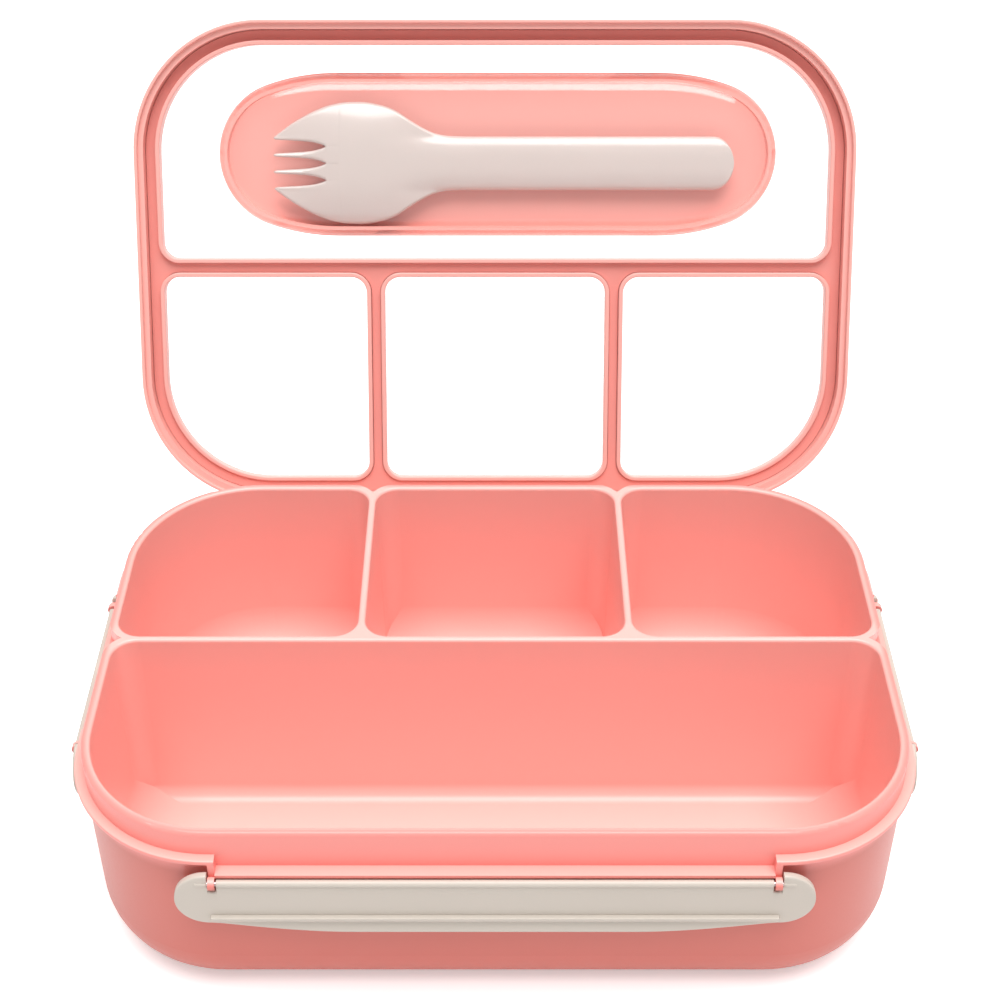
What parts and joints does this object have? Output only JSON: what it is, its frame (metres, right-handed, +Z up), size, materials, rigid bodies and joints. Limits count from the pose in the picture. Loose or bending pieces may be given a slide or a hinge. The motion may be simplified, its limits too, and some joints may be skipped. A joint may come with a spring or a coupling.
{
  "type": "bento lunch box",
  "caption": "Pink lunch box with divided compartments, swing latches on each side and a hinged see-through lid that keeps a spork in a covered pocket.",
  "frame": {"origin": "middle of the tub's flat underside, on the surface it stands on", "axes": "+X along the length to the right seen from the front, +Y to the back where the lid is hinged, +Z up"},
  "size_m": [0.2174, 0.2232, 0.1729],
  "materials": {
    "box_pink": "satin moulded polypropylene",
    "lid_pink": "satin moulded polypropylene",
    "seal_pink": "soft silicone",
    "lid_clear": "clear polished plastic",
    "latch_beige": "satin moulded plastic",
    "pin_steel": "drawn steel",
    "spork_ivory": "smooth moulded plastic"
  },
  "bodies": {
    "box": {"box_body": "box_pink", "front_latch_pins": "pin_steel", "back_latch_pins": "pin_steel", "left_latch_pins": "pin_steel", "right_latch_pins": "pin_steel"},
    "lid": {"back_latch": "latch_beige", "lid_frame": "lid_pink", "lid_seal": "seal_pink", "lid_window": "lid_clear"},
    "front_latch": {"front_latch": "latch_beige"},
    "left_latch": {"left_latch": "latch_beige"},
    "right_latch": {"right_latch": "latch_beige"},
    "cutlery_cover": {"cutlery_cover": "lid_pink"},
    "spork": {"spork": "spork_ivory"}
  },
  "joints": [
    {"name": "lid_swing", "type": "hinge", "parent": "box", "child": "lid", "pos_m": [0, 0.0721, 0.0475], "axis": [1, 0, 0], "range_deg": [-64.2, 115.8]},
    {"name": "front_latch_swing", "type": "hinge", "parent": "box", "child": "front_latch", "pos_m": [0, -0.0721, 0.0475], "axis": [-1, 0, 0], "range_deg": [0, 180]},
    {"name": "left_latch_swing", "type": "hinge", "parent": "box", "child": "left_latch", "pos_m": [-0.1069, 0, 0.0475], "axis": [0, 1, 0], "range_deg": [0, 180]},
    {"name": "right_latch_swing", "type": "hinge", "parent": "box", "child": "right_latch", "pos_m": [0.1069, 0, 0.0475], "axis": [0, -1, 0], "range_deg": [0, 180]},
    {"name": "cover_pull", "type": "slide", "parent": "lid", "child": "cutlery_cover", "axis": [0, 0.9003, -0.4352], "range_m": [0, 0.06]},
    {"name": "spork_lift", "type": "slide", "parent": "lid", "child": "spork", "axis": [0, 0.9003, -0.4352], "range_m": [0, 0.03]}
  ],
  "couplings": [
    {"joint": "spork_lift", "follows": "cover_pull", "ratio": 0.5}
  ]
}
